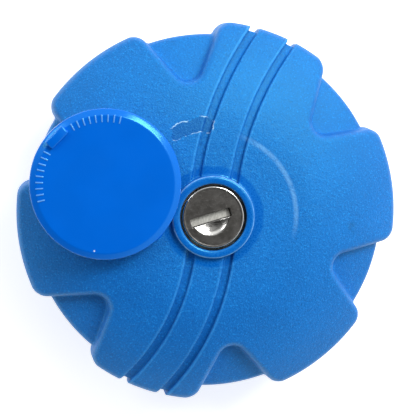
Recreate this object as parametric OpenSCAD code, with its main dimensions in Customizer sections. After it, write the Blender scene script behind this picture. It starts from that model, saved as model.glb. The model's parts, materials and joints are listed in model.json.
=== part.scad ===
// Lockable bayonet filler cap with a freewheeling grip, a key lock and a swing-away dust cover.
// Millimetres. The cap's axis is Z, and Z = 0 is the underside of the bayonet plate.

/* [Grip shell] */
// Diameter over the six grip lobes
cap_d = 90; // [88:0.5:94]
// Diameter of the disc that shows at the floor of each notch
flange_d = 84; // [82:0.5:85]
// Height of the lower edge of the skirt
skirt_z = 4; // [2:0.5:6]
// Outer diameter of the skirt
skirt_d = 82.4; // [82:0.1:83]
// Inner diameter of the skirt
skirt_id = 79.2; // [79:0.1:79.6]
// Height of the grip lobes' underside
grip_z = 15; // [13:0.5:16]
// Height of the dome's outer edge
rim_z = 22; // [21.5:0.1:23]
// Radius of the crease where the flat crown meets the dome
crease_r = 19.6; // [18:0.1:21]
// Height of the dome at the crease
crease_z = 32; // [31.6:0.1:32.4]
// Height of the crown at the lock
crown_z = 33; // [32.6:0.1:33.2]
// Size of the bevel along the lobes' top edge
rim_bevel = 1.1; // [0.5:0.1:2]

/* [Grip notches] */
// Number of notches
notch_count = 6; // [6]
// Direction of the first notch, counter-clockwise from +X, in degrees
notch_a0 = 39; // [38:0.5:41]
// Half of the angle between a notch's walls, in degrees
notch_half_a = 34.5; // [30:0.5:35]
// Radius of the round bottom of the V
notch_r = 3; // [2:0.5:4]
// Distance from the axis to the centre of that round bottom
notch_c = 34.65; // [34:0.05:36]
// Depth of the notches below the dome
notch_depth = 3.8; // [3.5:0.1:5]
// Radius of the lobes' corners, seen from above
lobe_r = 2.5; // [1:0.5:4]

/* [Grooves] */
// Width of a groove
groove_w = 2; // [1:0.1:2.5]
// Depth of a groove
groove_depth = 1.2; // [0.5:0.1:1.5]
// Distance from the axis to the centre of the grooves' arcs
groove_c = 64.6; // [60:0.1:70]
// Radius of the inner groove's arc
groove_r1 = 60.2; // [56:0.1:62]
// Radius of the outer groove's arc
groove_r2 = 69; // [67:0.1:72]

/* [Lock] */
// Diameter of the collar round the lock
collar_d = 19; // [18.4:0.1:19.6]
// Height of the collar's top
collar_z = 34; // [33.8:0.1:34.1]
// Diameter of the hole in the collar
collar_id = 15.4; // [15.1:0.1:15.8]
// Diameter of the lock's steel face
face_d = 14.4; // [14.2:0.1:14.6]
// Direction of the key slot, counter-clockwise from +X, in degrees
key_a = 16.9; // [0:0.1:40]
// Length of the key slot
key_l = 9.5; // [9:0.1:9.6]
// Width of the key slot
key_w = 2.05; // [1.8:0.05:2.1]
// How far the key slot's middle lies off the axis, along the slot
key_off = -0.57; // [-0.6:0.01:-0.4]
// Radius of the round scoop beside the key slot
scoop_r = 4.5; // [4:0.1:4.8]
// Travel of the coupling bolts over the key's quarter turn
bolt_travel = 3; // [2.5:0.1:3]

/* [Dust cover] */
// Diameter of the cover
cover_d = 34.3; // [34:0.1:34.6]
// Height of the cover's flat top
cover_z = 36.8; // [36.6:0.1:37.4]
// Pivot, X
pivot_x = -14.36; // [-14.5:0.01:-14.2]
// Pivot, Y
pivot_y = -2.37; // [-2.5:0.01:-2.2]
// Distance from the pivot to the cover's middle
pivot_to_centre = 14.57; // [14.4:0.01:14.7]
// Direction of the open cover from its pivot, in degrees
open_a = 135.75; // [130:0.25:140]

/* [Bayonet] */
// Outer diameter of the spigot that enters the neck
spigot_d = 58; // [57.6:0.1:58.2]
// Diameter over the two bayonet lugs
lug_d = 66; // [64:0.5:68]
// Angle that each lug spans, in degrees
lug_span = 40; // [30:1:50]
// Thickness of the bayonet plate
plate_t = 2; // [1.8:0.1:2]
// Number of slots in the clutch ring
clutch_slots = 24; // [24]

/* [Hidden] */
$fn = 96;
eps = 0.01;
proud = 0.02;
tiny = 0.05;
run_fit = 0.05;

// Shell
cap_r = cap_d / 2;
flange_r = flange_d / 2;
skirt_r = skirt_d / 2;
skirt_ir = skirt_id / 2;
roof_t = 2.8;
ledge_t = 2.4;
shoulder_r = 33;
shoulder_z = 28.5;
notch_pitch = 360 / notch_count;
lobe_a0 = notch_a0 - notch_pitch / 2;
// The dome's arc passes through the crease, the shoulder and the rim
dome_c = circle_centre([crease_r, crease_z], [shoulder_r, shoulder_z], [cap_r, rim_z]);
dome_r = norm([crease_r, crease_z] - dome_c);

// Lock stack, from the face down
face_z = 33.5;
face_t = 1.4;
face_r = face_d / 2;
head_r = 6.9;
head_z = 30.8;
plug_r = 6.3;
plug_z = 15.4;
barrel_r = 8.6;
barrel_z = 30.7;
barrel_bore_r = plug_r + run_fit;
flange_z = 15.5;
flange_t = 2;
barrel_flange_r = 19;
housing_screw_r = 16.5;
guide_r = 20.2;
guide_z = 9.5;
bolt_z = 12.6;
bolt_t = 2;
bolt_w = 8;
bolt_tip_w = 3;
bolt_in = 4.5;
bolt_tip = 21.2;
pin_at = 8;
pin_r = 1;
cam_z = 11;
cam_t = 1.45;
cam_r = 13.5;
quarter = 90;

// Wafers
wafer_n = 6;
wafer_z0 = 18;
wafer_pitch = 1.6;
wafer_t = 0.9;
wafer_r = 6.2;
wafer_w = 5.4;

// Shutter, in the key slot's own frame: u along the slot, v across it
shutter_v = 2.1;
shutter_z = 31.1;
shutter_t = 0.6;
shutter_top = 32.05;
knuckle_r = 0.9;
shutter_pin_r = 0.5;

// Insert
spigot_r = spigot_d / 2;
spigot_ir = 26.2;
insert_flange_r = 35.4;
insert_flange_z = 16.95;
insert_top_z = 19;
hub_r = 29.6;
hub_top_z = 21.8;
clutch_z = 11.8;
clutch_t = 3.4;
clutch_ir = 21.8;
clutch_slot_r = 24.7;
ring_ir = 33.6;
ring_z = 14.5;
ring_screw_r = 37.7;
seal_z = 10.4;
seal_plate_t = 1.8;
seal_r = 38.6;
gasket_t = 2;

function circle_centre(a, b, c) =
    let (
        d = 2 * (a.x * (b.y - c.y) + b.x * (c.y - a.y) + c.x * (a.y - b.y)),
        aa = a * a,
        bb = b * b,
        cc = c * c
    )
    [
        (aa * (b.y - c.y) + bb * (c.y - a.y) + cc * (a.y - b.y)) / d,
        (aa * (c.x - b.x) + bb * (a.x - c.x) + cc * (b.x - a.x)) / d
    ];
// Height of the dome over a radius outside the crease
function dome_h(r) = dome_c.y + sqrt(dome_r * dome_r - (r - dome_c.x) * (r - dome_c.x));

module at_angles(n, first, r) {
    for (i = [0 : n - 1])
        rotate([0, 0, first + 360 * i / n])
            translate([r, 0, 0])
                children();
}

module in_key_frame() {
    rotate([0, 0, key_a])
        children();
}

module tube(r_out, r_in, z0, z1) {
    translate([0, 0, z0])
        difference() {
            cylinder(r = r_out, h = z1 - z0);
            translate([0, 0, -1])
                cylinder(r = r_in, h = z1 - z0 + 2);
        }
}

// A flat ring bent into waves that reach from z = 0 to z = h
module wave_ring(r_in, r_out, t, h, waves, steps) {
    mid = h / 2;
    swing = (h - t) / 2;
    section = [[r_in, -t / 2], [r_out, -t / 2], [r_out, t / 2], [r_in, t / 2]];
    points = [
        for (i = [0 : steps - 1], p = section)
            let (a = 360 * i / steps)
            [p.x * cos(a), p.x * sin(a), mid + swing * cos(waves * a) + p.y]
    ];
    faces = [
        for (i = [0 : steps - 1], j = [0 : 3])
            let (
                i2 = (i + 1) % steps,
                j2 = (j + 1) % 4,
                a = 4 * i + j,
                b = 4 * i2 + j,
                c = 4 * i2 + j2,
                d = 4 * i + j2
            )
            each [[a, b, c], [a, c, d]]
    ];
    polyhedron(points, faces);
}

// A helix of round wire about Z, from z = 0, with square-cut ends
module helix(r, wire_r, pitch, turns, per_turn, sides) {
    n = turns * per_turn;
    points = [
        for (i = [0 : n], j = [0 : sides - 1])
            let (
                a = 360 * i / per_turn,
                b = 360 * j / sides,
                rr = r + wire_r * cos(b)
            )
            [rr * cos(a), rr * sin(a), wire_r + pitch * i / per_turn + wire_r * sin(b)]
    ];
    walls = [
        for (i = [0 : n - 1], j = [0 : sides - 1])
            let (
                j2 = (j + 1) % sides,
                a = sides * i + j,
                b = sides * (i + 1) + j,
                c = sides * (i + 1) + j2,
                d = sides * i + j2
            )
            each [[a, b, c], [a, c, d]]
    ];
    first = [for (j = [0 : sides - 1]) j];
    last = [for (j = [sides - 1 : -1 : 0]) n * sides + j];
    polyhedron(points, concat(walls, [first, last]));
}

// A screw that points up, with its head's lower face at z = 0
module pan_screw(r, head_r, head_h, reach) {
    difference() {
        union() {
            cylinder(r = head_r, h = head_h);
            cylinder(r = r, h = reach);
        }
        for (a = [0, 90])
            rotate([0, 0, a])
                translate([-head_r * 0.6, -head_r * 0.13, -eps])
                    cube([head_r * 1.2, head_r * 0.26, head_h * 0.5]);
    }
}

module flat_screw(r, head_r, reach) {
    difference() {
        union() {
            cylinder(r1 = head_r, r2 = r, h = head_r - r);
            cylinder(r = r, h = reach);
        }
        for (a = [0, 90])
            rotate([0, 0, a])
                translate([-head_r * 0.6, -head_r * 0.13, -eps])
                    cube([head_r * 1.2, head_r * 0.26, 0.5]);
    }
}

// ---- Grip shell ----

// Half section of the dome, lowered by drop, out to radius r_out
module dome_section(r_out, drop, bevel) {
    edge_z = dome_h(r_out) - drop;
    intersection() {
        union() {
            intersection() {
                translate([dome_c.x, dome_c.y - drop])
                    circle(r = dome_r, $fn = 180);
                translate([crease_r, skirt_z])
                    square([r_out - crease_r, crease_z]);
            }
            polygon([
                [0, skirt_z], [crease_r + eps, skirt_z],
                [crease_r + eps, crease_z - drop], [0, crown_z - drop]
            ]);
        }
        polygon([
            [-1, skirt_z], [skirt_r, skirt_z], [skirt_r, grip_z],
            [r_out - bevel * 0.7, grip_z], [r_out, grip_z + bevel * 0.7], [r_out, edge_z - bevel * 0.7],
            [r_out - bevel, edge_z + bevel * 0.4], [r_out - bevel, crown_z + 1], [-1, crown_z + 1]
        ]);
    }
}

// Plan of one notch, pointing along +X
module notch_plan() {
    reach = cap_r + 4;
    foot = [notch_c - notch_r * sin(notch_half_a), notch_r * cos(notch_half_a)];
    mouth = foot.y + (reach - foot.x) * tan(notch_half_a);
    translate([notch_c, 0])
        circle(r = notch_r);
    polygon([foot, [reach, mouth], [reach, -mouth], [foot.x, -foot.y]]);
    for (side = [0, 1])
        mirror([0, side])
            lobe_corner_plan(foot);
}

// The sliver that rounds a lobe's corner, between its wall, its rim and the corner's circle
module lobe_corner_plan(foot) {
    along = [cos(notch_half_a), sin(notch_half_a)];
    away = [-sin(notch_half_a), cos(notch_half_a)];
    // The circle stands slightly proud of the wall and the rim, so that it crosses them
    base = foot + (lobe_r - proud) * away;
    centre_r = cap_r - lobe_r + proud;
    b = base * along;
    c = base * base - centre_r * centre_r;
    centre = base + (-b + sqrt(b * b - c)) * along;
    on_wall = centre - lobe_r * away;
    on_rim = centre * (cap_r + 1) / centre_r;
    corner = on_wall + 2 * lobe_r * along;
    difference() {
        polygon([centre, on_wall, corner, on_rim]);
        translate(centre)
            circle(r = lobe_r);
    }
}

module shell_body() {
    difference() {
        rotate_extrude()
            dome_section(cap_r, 0, rim_bevel);
        translate([0, 0, skirt_z - 1])
            at_angles(notch_count, notch_a0, 0)
                linear_extrude(crown_z)
                    notch_plan();
    }
    rotate_extrude()
        dome_section(flange_r, notch_depth, 0.8);
}

module groove_plan() {
    for (half = [0, 180], r = [groove_r1, groove_r2])
        rotate(half)
            intersection() {
                translate([groove_c, 0])
                    difference() {
                        circle(r = r + groove_w / 2, $fn = 240);
                        circle(r = r - groove_w / 2, $fn = 240);
                    }
                translate([-30, 0])
                    square([60, cap_r + 2]);
            }
}

module grooves() {
    difference() {
        translate([0, 0, skirt_z - 1])
            linear_extrude(crown_z)
                groove_plan();
        rotate_extrude()
            dome_section(cap_r - groove_depth, groove_depth, 0);
    }
}

module shell_cavity() {
    z0 = skirt_z - 1;
    rotate_extrude()
        polygon([
            [0, z0], [skirt_ir, z0],
            [skirt_ir, dome_h(skirt_ir) - notch_depth - ledge_t],
            [36, dome_h(36) - notch_depth - ledge_t],
            [29.5, dome_h(29.5) - notch_depth - ledge_t],
            [29, dome_h(29) - roof_t], [crease_r, crease_z - roof_t], [0, crown_z - roof_t]
        ]);
}

module shell_inside() {
    // Boss that holds the lock's barrel
    tube(barrel_r + 1.6, barrel_r + 0.1, flange_z + flange_t, crown_z - 1);
    // Bearing ring over the insert
    tube(34.6, hub_r + 0.1, 20, 23.6);
    // Locating ring round the insert's flange
    tube(36.6, 35.8, insert_flange_z, 20.4);
    at_angles(6, lobe_a0, ring_screw_r)
        difference() {
            translate([0, 0, insert_flange_z])
                cylinder(r = 2.1, h = 4);
            translate([0, 0, insert_flange_z - 1])
                cylinder(r = 1.03, h = 4.5);
        }
    at_angles(4, 45, housing_screw_r)
        difference() {
            translate([0, 0, flange_z + flange_t])
                cylinder(r = 2.6, h = 12.2);
            translate([0, 0, flange_z])
                cylinder(r = 1.43, h = 10);
        }
    translate([pivot_x, pivot_y, 28])
        cylinder(r = 4.2, h = 3);
}

module grip_shell() color("dodgerblue") {
    difference() {
        union() {
            difference() {
                shell_body();
                grooves();
                shell_cavity();
            }
            shell_inside();
            // Collar round the lock
            translate([0, 0, crown_z - 2])
                cylinder(d = collar_d, h = collar_z - crown_z + 2);
            // Pad under the dust cover's hub
            translate([pivot_x, pivot_y, crown_z - 2])
                cylinder(r = 2.9, h = 2.6);
        }
        translate([0, 0, barrel_z + 0.1])
            cylinder(d = collar_id, h = 10);
        translate([0, 0, flange_z])
            cylinder(r = barrel_r + 0.1, h = barrel_z + 0.1 - flange_z);
        translate([pivot_x, pivot_y, 20])
            cylinder(r = 2.05, h = 20);
    }
}

// ---- Lock ----

module lock_housing() color("silver") {
    difference() {
        union() {
            translate([0, 0, flange_z])
                cylinder(r = barrel_r, h = barrel_z - flange_z);
            translate([0, 0, flange_z])
                cylinder(r = barrel_flange_r, h = flange_t);
        }
        translate([0, 0, flange_z - 1])
            cylinder(r = barrel_bore_r, h = 20);
        // Four wafer grooves in the bore
        in_key_frame()
            for (a = [0, 90])
                rotate([0, 0, a])
                    translate([-7.2, -wafer_w / 2 - 0.3, wafer_z0 - 0.5])
                        cube([14.4, wafer_w + 0.6, wafer_n * wafer_pitch]);
        at_angles(4, 45, housing_screw_r)
            translate([0, 0, flange_z - 1])
                cylinder(r = 1.6, h = 4);
        tube(barrel_r + 1, 7.7, 28.4, 29.6);
    }
}

module lock_seal_ring() color("black")
    translate([0, 0, 29])
        rotate_extrude()
            translate([8.15, 0])
                circle(r = 0.45, $fn = 24);

module housing_screws() color("gainsboro")
    at_angles(4, 45, housing_screw_r)
        translate([0, 0, guide_z - 1.6])
            pan_screw(1.4, 2.8, 1.6, 16.5);

module bolt_guide() color("dimgray") {
    top = flange_z - tiny;
    difference() {
        translate([0, 0, guide_z])
            cylinder(r = guide_r, h = top - guide_z);
        // Tunnel for both bolts
        translate([-guide_r - 1, -bolt_w / 2 - run_fit, bolt_z - run_fit])
            cube([2 * guide_r + 2, bolt_w + 2 * run_fit, bolt_t + 2 * run_fit]);
        // Pocket for the cam
        translate([0, 0, guide_z - 1])
            cylinder(r = cam_r + 0.3, h = bolt_z - guide_z + 1);
        translate([0, 0, guide_z])
            cylinder(r = plug_r, h = 10);
        at_angles(4, 45, housing_screw_r)
            translate([0, 0, guide_z - 1])
                cylinder(r = 1.6, h = 10);
    }
}

module key_hole(z0, z1, clear) {
    translate([key_off - key_l / 2 - clear, -key_w / 2 - clear, z0])
        cube([key_l + 2 * clear, key_w + 2 * clear, z1 - z0]);
}

module lock_plug() color("darkgoldenrod") {
    difference() {
        union() {
            translate([0, 0, plug_z])
                cylinder(r = plug_r, h = head_z - plug_z);
            translate([0, 0, head_z])
                cylinder(r = head_r, h = face_z - face_t - head_z);
            translate([0, 0, bolt_z + 0.1])
                cylinder(r = 4, h = plug_z - bolt_z);
            translate([-2.5, -2.5, cam_z - 0.1])
                cube([5, 5, bolt_z - cam_z + 0.3]);
            translate([0, 0, cam_z - 1.3])
                cylinder(r = 2.3, h = 1.4);
        }
        tube(5, 1.8, cam_z - 0.75, cam_z - 0.05);
        in_key_frame() {
            key_hole(plug_z + 1, face_z, 0);
            // Room for the shutter to swing down
            translate([key_off - 4.83, -1.9, 27.2])
                cube([9.7, 3.9, 8]);
            translate([-4.8, 1.5, 27.2])
                cube([9.1, 1.7, 8]);
            translate([-5.9, shutter_v, shutter_z])
                rotate([0, 90, 0])
                    cylinder(r = shutter_pin_r + tiny, h = 10.8);
            for (i = [0 : wafer_n - 1])
                translate([-8, -wafer_w / 2 - 0.1, wafer_z0 + wafer_pitch * i - tiny])
                    cube([16, wafer_w + 0.2, wafer_t + 2 * tiny]);
        }
    }
}

module plug_face() color("dimgray") {
    bevel = 0.4;
    difference() {
        rotate_extrude()
            polygon([
                [0, face_z - face_t], [head_r + 0.02, face_z - face_t],
                [head_r + 0.02, head_z + 0.2], [face_r, head_z + 0.2],
                [face_r, face_z - bevel], [face_r - bevel, face_z], [0, face_z]
            ]);
        in_key_frame() {
            key_hole(face_z - face_t - 1, face_z + 1, 0);
            scoop();
        }
    }
}

// Round dish on the slot's lower side, deepest at the slot
module scoop() {
    depth = 1.1;
    r = (scoop_r * scoop_r + depth * depth) / (2 * depth);
    intersection() {
        translate([key_off, 0.4, face_z - depth + r])
            sphere(r = r, $fn = 96);
        translate([-8, -8, face_z - face_t - 1])
            cube([16, 8 - key_w / 2 + eps, 4]);
    }
}

module key_shutter() color("lightgray")
    in_key_frame() {
        difference() {
            union() {
                translate([key_off - 4.63, -1.45, shutter_top - shutter_t])
                    cube([9.3, 2.6, shutter_t]);
                translate([-4.6, shutter_v, shutter_z])
                    rotate([0, 90, 0])
                        cylinder(r = knuckle_r, h = 6, $fn = 32);
                translate([-4.6, 1, shutter_top - shutter_t])
                    cube([6, shutter_v - 1, shutter_t - 0.1]);
            }
            translate([-5, shutter_v, shutter_z])
                rotate([0, 90, 0])
                    cylinder(r = shutter_pin_r + 0.06, h = 8, $fn = 32);
        }
    }

module shutter_pin() color("silver")
    in_key_frame()
        translate([-5.7, shutter_v, shutter_z])
            rotate([0, 90, 0])
                cylinder(r = shutter_pin_r, h = 10.4, $fn = 32);

module shutter_spring() color("gainsboro")
    in_key_frame()
        translate([1.7, shutter_v, shutter_z])
            rotate([0, 90, 0])
                helix(0.76, 0.14, 0.42, 5, 14, 6);

module wafer(i, side) {
    difference() {
        intersection() {
            translate([0, 0, wafer_z0 + wafer_pitch * i])
                cylinder(r = wafer_r, h = wafer_t);
            translate([-8, -wafer_w / 2, wafer_z0])
                cube([16, wafer_w, 20]);
        }
        key_hole(wafer_z0 - 1, wafer_z0 + 20, 0.1);
        // Notch that holds the wafer's spring
        translate([side > 0 ? -0.8 : -2.4, 1.8, wafer_z0 - 1])
            cube([3.2, 2, 20]);
    }
}

module wafers_a() color("goldenrod")
    in_key_frame()
        for (i = [0 : 2 : wafer_n - 1])
            wafer(i, 1);

module wafers_b() color("goldenrod")
    in_key_frame()
        for (i = [1 : 2 : wafer_n - 1])
            wafer(i, -1);

module wafer_springs() color("gainsboro")
    in_key_frame()
        for (i = [0 : wafer_n - 1])
            translate([i % 2 == 0 ? 0.1 : -1.9, 2.3, wafer_z0 + wafer_pitch * i + wafer_t / 2])
                rotate([0, 90, 0])
                    cylinder(r = 0.36, h = 1.8, $fn = 24);

// Half-width of a cam slot about the line that its follower pin takes
module spiral_slot() {
    steps = 24;
    w = pin_r + 0.15;
    function at(t, side) =
        let (r = pin_at + bolt_travel * t + side * w)
        [r * cos(-quarter * t), r * sin(-quarter * t)];
    outer = [for (i = [0 : steps]) at(i / steps, 1)];
    inner = [for (i = [steps : -1 : 0]) at(i / steps, -1)];
    polygon(concat(outer, inner));
    translate([pin_at, 0])
        circle(r = w);
    translate([0, -pin_at - bolt_travel])
        circle(r = w);
}

module cam_plate() color("silver")
    difference() {
        translate([0, 0, cam_z])
            cylinder(r = cam_r, h = cam_t);
        translate([-2.53, -2.53, cam_z - 1])
            cube([5.06, 5.06, 4]);
        for (half = [0, 180])
            rotate([0, 0, half])
                translate([0, 0, cam_z - 1])
                    linear_extrude(4)
                        spiral_slot();
    }

module cam_circlip() color("gray")
    difference() {
        tube(4.2, 1.85, cam_z - 0.7, cam_z - 0.1);
        translate([0, -1.4, cam_z - 2])
            cube([6, 2.8, 4]);
    }

module coupling_bolt() {
    translate([bolt_in, -bolt_w / 2, bolt_z])
        cube([guide_r - bolt_in - 2, bolt_w, bolt_t]);
    translate([bolt_in, -bolt_tip_w / 2, bolt_z])
        cube([bolt_tip - bolt_in, bolt_tip_w, bolt_t]);
    translate([pin_at, 0, cam_z + 0.15])
        cylinder(r = pin_r, h = bolt_z - cam_z);
}

module coupling_bolt_a() color("lightsteelblue")
    coupling_bolt();

module coupling_bolt_b() color("lightsteelblue")
    rotate([0, 0, 180])
        coupling_bolt();

// ---- Dust cover ----

module dust_cover() color("royalblue") {
    cover_r = cover_d / 2;
    rim_low = cover_z - 2.4;
    centre = [pivot_to_centre * cos(open_a), pivot_to_centre * sin(open_a)];
    rib_first = 15.85;
    rib_pitch = 5.3;
    difference() {
        union() {
            translate([pivot_x + centre.x, pivot_y + centre.y, 0])
                rotate([0, 0, open_a]) {
                    rotate_extrude()
                        polygon([
                            [0, cover_z - 1.6], [cover_r - 1.2, cover_z - 1.6],
                            [cover_r - 1.2, rim_low], [cover_r, rim_low],
                            [cover_r, cover_z - 0.9], [cover_r - 0.55, cover_z - 0.7],
                            [cover_r - 1.65, cover_z], [0, cover_z]
                        ]);
                    // Thumb tab
                    translate([14.2, -2.65, cover_z - 1])
                        cube([2.2, 5.3, 2.2]);
                    // Two runs of fine grip ribs beside the tab
                    for (side = [-1, 1], i = [0 : 8])
                        rotate([0, 0, side * (rib_first + rib_pitch * i)])
                            translate([14.1, -0.16, cover_z - 1])
                                cube([1.7, 0.32, 1.15]);
                }
            translate([pivot_x, pivot_y, crown_z + 0.7])
                cylinder(r = 2.9, h = cover_z - 1.5 - crown_z - 0.7);
            translate([pivot_x, pivot_y, 26.6])
                cylinder(r = 2, h = crown_z + 1 - 26.6);
        }
        translate([pivot_x, pivot_y, 26])
            cylinder(r = 0.98, h = 6);
    }
}

module pivot_wave_washer() color("gainsboro")
    translate([pivot_x, pivot_y, 26.65])
        wave_ring(2.2, 3.8, 0.35, 1.3, 3, 48);

module pivot_washer() color("silver")
    translate([pivot_x, pivot_y, 0])
        tube(4, 0.98, 25.85, 26.6);

module pivot_screw() color("gainsboro")
    translate([pivot_x, pivot_y, 24.4])
        pan_screw(0.95, 2.1, 1.45, 7.4);

// ---- Bayonet insert ----

module bayonet_insert() color("dimgray") {
    floor_z = plate_t;
    difference() {
        union() {
            translate([0, 0, floor_z])
                cylinder(r = spigot_r, h = insert_flange_z - floor_z + eps);
            translate([0, 0, insert_flange_z])
                cylinder(r = insert_flange_r, h = insert_top_z - insert_flange_z);
            translate([0, 0, insert_top_z - eps])
                cylinder(r = hub_r, h = hub_top_z - insert_top_z);
            // Nibs that stop the sprung seal
            for (i = [0 : 5])
                rotate([0, 0, 60 * i + 25])
                    rotate_extrude(angle = 10)
                        polygon([
                            [spigot_r - 1, seal_z - 2.6], [spigot_r, seal_z - 2.6],
                            [spigot_r + 1.1, seal_z - 1.2], [spigot_r + 1.1, seal_z - tiny],
                            [spigot_r - 1, seal_z - tiny]
                        ]);
        }
        translate([0, 0, clutch_z])
            cylinder(r = spigot_ir, h = 20);
        translate([0, 0, floor_z + 2.5])
            cylinder(r = 23.6, h = 20);
        at_angles(4, 45, 21.5)
            translate([0, 0, floor_z - 1])
                cylinder(r = 1.43, h = 10);
    }
    at_angles(4, 45, 21.5)
        difference() {
            translate([0, 0, floor_z + 1])
                cylinder(r = 2.6, h = 4);
            cylinder(r = 1.43, h = 20);
        }
}

module bayonet_plate() color("silver")
    difference() {
        union() {
            cylinder(r = spigot_r - 0.4, h = plate_t);
            for (side = [0, 180])
                rotate([0, 0, side - lug_span / 2])
                    rotate_extrude(angle = lug_span)
                        polygon([
                            [10, 0], [lug_d / 2 - 0.6, 0], [lug_d / 2, 0.6],
                            [lug_d / 2, plate_t], [10, plate_t]
                        ]);
        }
        translate([0, 0, -1])
            cylinder(r = 8, h = 5);
        at_angles(4, 45, 21.5)
            translate([0, 0, -eps]) {
                cylinder(r1 = 2.95, r2 = 1.45, h = 1.5);
                cylinder(r = 1.45, h = 5);
            }
    }

module bayonet_screws() color("gainsboro")
    at_angles(4, 45, 21.5)
        translate([0, 0, tiny])
            flat_screw(1.4, 2.8, 6.4);

module clutch_ring() color("silver")
    difference() {
        tube(spigot_ir, clutch_ir, clutch_z, clutch_z + clutch_t);
        at_angles(clutch_slots, 0, clutch_ir - 2)
            translate([0, -bolt_tip_w / 2 - 0.2, clutch_z - 1])
                cube([clutch_slot_r - clutch_ir + 2, bolt_tip_w + 0.4, clutch_t + 2]);
    }

module thrust_ring() color("whitesmoke")
    tube(34.4, hub_r + 0.3, insert_top_z + 0.03, 19.97);

module retaining_ring() color("dimgray")
    difference() {
        tube(skirt_ir - 0.3, ring_ir, ring_z, insert_flange_z - tiny);
        at_angles(6, lobe_a0, ring_screw_r)
            translate([0, 0, ring_z - eps]) {
                cylinder(r1 = 1.5, r2 = 1.1, h = 0.4);
                cylinder(r = 1.1, h = 5);
            }
    }

module retaining_screws() color("gainsboro")
    at_angles(6, lobe_a0, ring_screw_r)
        translate([0, 0, ring_z + tiny])
            flat_screw(1, 1.4, 4);

// ---- Sprung seal ----

module pressure_plate() color("gray")
    tube(seal_r, spigot_r + 0.3, seal_z, seal_z + seal_plate_t);

module neck_gasket() color("black")
    difference() {
        tube(seal_r - 0.6, spigot_r + 1.4, seal_z - gasket_t, seal_z);
        tube(34.4, 33.6, seal_z - gasket_t - 1, seal_z - gasket_t + 0.5);
        tube(36.2, 35.4, seal_z - gasket_t - 1, seal_z - gasket_t + 0.5);
    }

module wave_spring() color("gainsboro")
    translate([0, 0, seal_z + seal_plate_t + 0.02])
        wave_ring(30.4, 32.9, 0.7, insert_flange_z - seal_z - seal_plate_t - 0.04, 4, 120);

grip_shell();
lock_housing();
lock_seal_ring();
housing_screws();
bolt_guide();
retaining_ring();
retaining_screws();
thrust_ring();
pivot_wave_washer();
lock_plug();
plug_face();
shutter_pin();
shutter_spring();
wafer_springs();
cam_plate();
cam_circlip();
key_shutter();
wafers_a();
wafers_b();
coupling_bolt_a();
coupling_bolt_b();
dust_cover();
pivot_washer();
pivot_screw();
bayonet_insert();
bayonet_plate();
bayonet_screws();
clutch_ring();
pressure_plate();
neck_gasket();
wave_spring();
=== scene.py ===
"""Looks of a lockable bayonet filler cap: grained blue shell, glossy dust cover and steel lock."""
import json
import math

import bmesh
import bpy
import numpy as np
from mathutils import Matrix, Vector


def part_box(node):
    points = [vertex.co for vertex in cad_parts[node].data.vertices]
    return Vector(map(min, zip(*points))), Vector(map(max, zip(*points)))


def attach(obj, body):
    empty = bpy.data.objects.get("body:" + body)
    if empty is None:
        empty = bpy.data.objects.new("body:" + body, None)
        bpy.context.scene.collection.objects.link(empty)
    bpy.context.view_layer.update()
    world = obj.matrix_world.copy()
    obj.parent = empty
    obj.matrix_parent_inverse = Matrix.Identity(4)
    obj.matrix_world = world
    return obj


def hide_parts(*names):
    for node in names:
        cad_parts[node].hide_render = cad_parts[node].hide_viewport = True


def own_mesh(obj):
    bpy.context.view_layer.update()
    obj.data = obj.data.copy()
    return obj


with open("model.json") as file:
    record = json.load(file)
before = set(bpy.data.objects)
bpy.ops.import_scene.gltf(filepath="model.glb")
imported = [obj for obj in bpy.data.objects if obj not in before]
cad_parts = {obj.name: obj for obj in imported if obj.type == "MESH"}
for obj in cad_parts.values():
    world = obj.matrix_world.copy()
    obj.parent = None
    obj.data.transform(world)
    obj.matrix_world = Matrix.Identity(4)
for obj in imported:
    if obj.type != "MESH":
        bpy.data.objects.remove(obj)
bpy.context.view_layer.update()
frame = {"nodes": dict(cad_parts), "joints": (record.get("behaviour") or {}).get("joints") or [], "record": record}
MM = 0.001


# ---------------------------------------------------------------- frame

def box_mm(node):
    lo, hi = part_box(node)
    return np.array(lo) / MM, np.array(hi) / MM


def joint(name):
    return next(j for j in frame["joints"] if j["name"] == name)


SHELL_LO, SHELL_HI = box_mm("grip_shell")
FACE_LO, FACE_HI = box_mm("plug_face")
COVER_LO, COVER_HI = box_mm("dust_cover")

CAP_R = round((SHELL_HI[0] - SHELL_LO[0]) / 2, 1)
SKIRT_Z = SHELL_LO[2]
COLLAR_Z = SHELL_HI[2]
FACE_R = (FACE_HI[0] - FACE_LO[0]) / 2
FACE_Z = FACE_HI[2]
PIVOT = np.array(joint("cover_swing")["pos_m"]) / MM

# The tab stands above the cover's disc and past it at one side
TAB_RISE = 1.2
COVER_Z = round(COVER_HI[2] - TAB_RISE, 2)
COVER_R = 17.15
COVER_AT = (COVER_HI[0] - COVER_R, COVER_LO[1] + COVER_R)
OPEN_A = math.atan2(COVER_AT[1] - PIVOT[1], COVER_AT[0] - PIVOT[0])
GATE_AT = (COVER_AT[0] - 2.6, COVER_AT[1] - 15.0)

# The key slot lies KEY_OFF along its own direction from the axis
KEY_A = math.radians(16.9)
KEY_OFF = -0.57
KEY_HALF = (4.75, 1.025)

# ---------------------------------------------------------------- distance fields, in millimetres


def round_max(a, b, r):
    """Intersection of two distances with a fillet of radius r."""
    return np.minimum(np.maximum(a, b), -r) + np.hypot(np.maximum(a + r, 0), np.maximum(b + r, 0))


def round_min(a, b, r):
    return -round_max(-a, -b, r)


def circle_through(a, b, c):
    rows = np.array([[2 * p[0], 2 * p[1], 1] for p in (a, b, c)])
    x = np.linalg.solve(rows, np.array([p[0] ** 2 + p[1] ** 2 for p in (a, b, c)]))
    return x[0], x[1], math.sqrt(x[2] + x[0] ** 2 + x[1] ** 2)


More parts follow.
